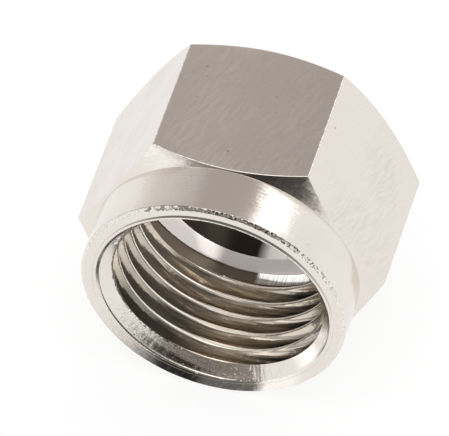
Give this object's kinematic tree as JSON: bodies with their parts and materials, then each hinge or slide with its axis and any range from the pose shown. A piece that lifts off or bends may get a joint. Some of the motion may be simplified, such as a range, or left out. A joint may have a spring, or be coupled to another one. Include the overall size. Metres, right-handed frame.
{
  "type": "union nut",
  "caption": "Nickel-plated brass union nut with a hexagon for a spanner, a turned collar, an internal pipe thread, a relief groove and a flat seat.",
  "frame": {"origin": "on the thread axis, in the plane of the seat that bears on the tail's flange", "axes": "+Y along the thread axis from the mouth to the back, +Z square to the upper hexagon flat, +X towards a hexagon corner; the nut lies on its lower flat"},
  "size_m": [0.0278, 0.0192, 0.024],
  "materials": {
    "nickel_plated_brass": "bright nickel plate over turned and milled brass"
  },
  "bodies": {
    "root": {"union_nut": "nickel_plated_brass"}
  },
  "joints": []
}
